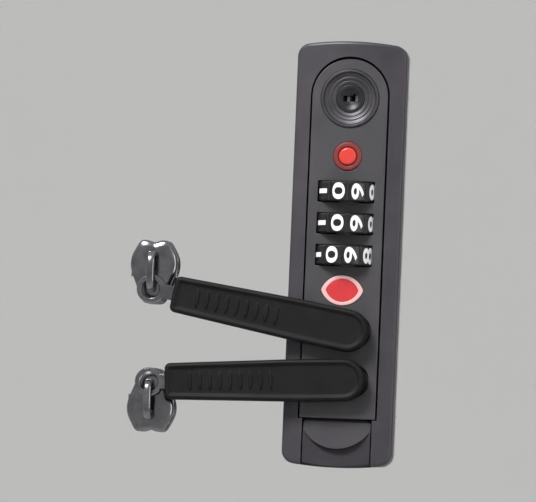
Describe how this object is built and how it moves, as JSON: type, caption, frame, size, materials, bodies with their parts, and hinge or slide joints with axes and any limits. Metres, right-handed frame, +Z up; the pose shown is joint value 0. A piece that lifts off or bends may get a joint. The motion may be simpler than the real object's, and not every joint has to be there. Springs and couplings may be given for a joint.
{
  "type": "case-mounted zipper lock",
  "caption": "Flush-mounted combination lock for a travel case, with number dials, a key cylinder, a reset button, a sliding release and the moulded zipper pulls it latches.",
  "frame": {"origin": "middle of the bezel's back face, on the outside of the case wall", "axes": "+Z up the lock's length towards the key cylinder, -Y out of the case towards the user, +X to the user's right; the pulls come from -X"},
  "size_m": [0.0611, 0.0223, 0.096],
  "materials": {
    "bezel_plastic": "satin moulded",
    "panel_plastic": "satin moulded",
    "button_plastic": "satin moulded",
    "housing_plastic": "matt moulded",
    "collar_plastic": "matt moulded",
    "sleeve_plastic": "moulded",
    "screw_steel": "zinc plated",
    "backing_steel": "stamped",
    "inner_steel": "stamped",
    "spring_steel": "polished wire",
    "tongue_steel": "stamped",
    "cylinder_metal": "dark satin, turned",
    "plug_metal": "dark satin",
    "wafer_metal": "stamped",
    "red_button": "gloss",
    "badge_red": "enamel",
    "badge_rim_pale": "gloss",
    "dial_black": "satin moulded",
    "digit_white": "printed",
    "pull_rubber": "matt moulded",
    "slider_metal": "gunmetal plating"
  },
  "bodies": {
    "lock_body": {"bezel": "bezel_plastic", "face_plate": "panel_plastic", "housing": "housing_plastic", "rear_cover": "housing_plastic", "cover_screws": "screw_steel", "backing_plate": "backing_steel", "mount_screws": "screw_steel", "cylinder_shell": "cylinder_metal", "reset_collar": "collar_plastic", "detent_spring": "spring_steel", "badge_rim": "badge_rim_pale", "badge": "badge_red", "shaft_spring": "spring_steel", "latch_springs": "spring_steel"},
    "key_plug": {"key_plug": "plug_metal", "plug_wafers": "wafer_metal", "plug_clip": "spring_steel", "key_cam": "inner_steel"},
    "bypass_bar": {"bypass_bar": "sleeve_plastic"},
    "fence_bar": {"fence_bar": "inner_steel"},
    "reset_button": {"reset_button": "red_button"},
    "dial_shaft": {"dial_shaft": "inner_steel", "shaft_clip": "spring_steel"},
    "release": {"release_button": "button_plastic", "latch_plate": "inner_steel"},
    "dial_1": {"dial_1": "dial_black"},
    "clutch_sleeve_1": {"clutch_sleeve_1": "sleeve_plastic"},
    "dial_2": {"dial_2": "dial_black"},
    "clutch_sleeve_2": {"clutch_sleeve_2": "sleeve_plastic"},
    "dial_3": {"dial_3": "dial_black"},
    "clutch_sleeve_3": {"clutch_sleeve_3": "sleeve_plastic"},
    "upper_pull": {"upper_strap": "pull_rubber", "upper_tongue": "tongue_steel", "upper_ring": "slider_metal"},
    "upper_slider": {"upper_slider_body": "slider_metal", "upper_slider_crown": "slider_metal"},
    "lower_pull": {"lower_strap": "pull_rubber", "lower_tongue": "tongue_steel", "lower_ring": "slider_metal"},
    "lower_slider": {"lower_slider_body": "slider_metal", "lower_slider_crown": "slider_metal"}
  },
  "joints": [
    {"name": "dial_1_turn", "type": "hinge", "parent": "lock_body", "child": "dial_1", "pos_m": [0, 0, 0.014], "axis": [0, 0, 1], "continuous": true},
    {"name": "dial_2_turn", "type": "hinge", "parent": "lock_body", "child": "dial_2", "pos_m": [0, 0, 0.00683], "axis": [0, 0, 1], "continuous": true},
    {"name": "dial_3_turn", "type": "hinge", "parent": "lock_body", "child": "dial_3", "pos_m": [0, 0, -0.00034], "axis": [0, 0, 1], "continuous": true},
    {"name": "reset_press", "type": "slide", "parent": "lock_body", "child": "reset_button", "axis": [0, 1, 0], "range_m": [0, 0.0012], "stiffness_N_per_m": 700, "springref_m": -0.0006},
    {"name": "shaft_shift", "type": "slide", "parent": "lock_body", "child": "dial_shaft", "axis": [0, 0, -1], "range_m": [0, 0.0012], "deforming": ["shaft_spring"]},
    {"name": "clutch_sleeve_1_turn", "type": "hinge", "parent": "dial_shaft", "child": "clutch_sleeve_1", "pos_m": [0, 0, 0.014], "axis": [0, 0, 1], "continuous": true},
    {"name": "clutch_sleeve_2_turn", "type": "hinge", "parent": "dial_shaft", "child": "clutch_sleeve_2", "pos_m": [0, 0, 0.00683], "axis": [0, 0, 1], "continuous": true},
    {"name": "clutch_sleeve_3_turn", "type": "hinge", "parent": "dial_shaft", "child": "clutch_sleeve_3", "pos_m": [0, 0, -0.00034], "axis": [0, 0, 1], "continuous": true},
    {"name": "key_turn", "type": "hinge", "parent": "lock_body", "child": "key_plug", "pos_m": [0, 0, 0.0351], "axis": [0, 1, 0], "range_deg": [0, 90]},
    {"name": "bypass_slide", "type": "slide", "parent": "lock_body", "child": "bypass_bar", "axis": [0, 0, -1], "range_m": [0, 0.002]},
    {"name": "release_slide", "type": "slide", "parent": "lock_body", "child": "release", "axis": [0, 0, -1], "range_m": [0, 0.0045], "stiffness_N_per_m": 160, "springref_m": -0.004, "deforming": ["latch_springs"]},
    {"name": "fence_lift", "type": "slide", "parent": "lock_body", "child": "fence_bar", "axis": [0, -1, 0], "range_m": [0, 0.000675]},
    {"name": "upper_pull_lift", "type": "slide", "parent": "lock_body", "child": "upper_pull", "axis": [0, -1, 0], "range_m": [0, 0.009]},
    {"name": "upper_slider_swing", "type": "hinge", "parent": "upper_pull", "child": "upper_slider", "pos_m": [-0.0433, -0.0054, -0.0094], "axis": [0, 0, 1], "range_deg": [-10, 10]},
    {"name": "lower_pull_lift", "type": "slide", "parent": "lock_body", "child": "lower_pull", "axis": [0, -1, 0], "range_m": [0, 0.009]},
    {"name": "lower_slider_swing", "type": "hinge", "parent": "lower_pull", "child": "lower_slider", "pos_m": [-0.0428, -0.0054, -0.0303], "axis": [0, 0, 1], "range_deg": [-10, 10]}
  ],
  "couplings": [
    {"joint": "shaft_shift", "follows": "reset_press", "ratio": 1},
    {"joint": "clutch_sleeve_1_turn", "follows": "dial_1_turn", "ratio": 1},
    {"joint": "clutch_sleeve_2_turn", "follows": "dial_2_turn", "ratio": 1},
    {"joint": "clutch_sleeve_3_turn", "follows": "dial_3_turn", "ratio": 1},
    {"joint": "bypass_slide", "follows": "key_turn", "m_per_rad": 0.001273},
    {"joint": "fence_lift", "follows": "release_slide", "ratio": 0.15},
    {"joint": "upper_pull_lift", "follows": "release_slide", "ratio": 2},
    {"joint": "lower_pull_lift", "follows": "release_slide", "ratio": 2}
  ]
}
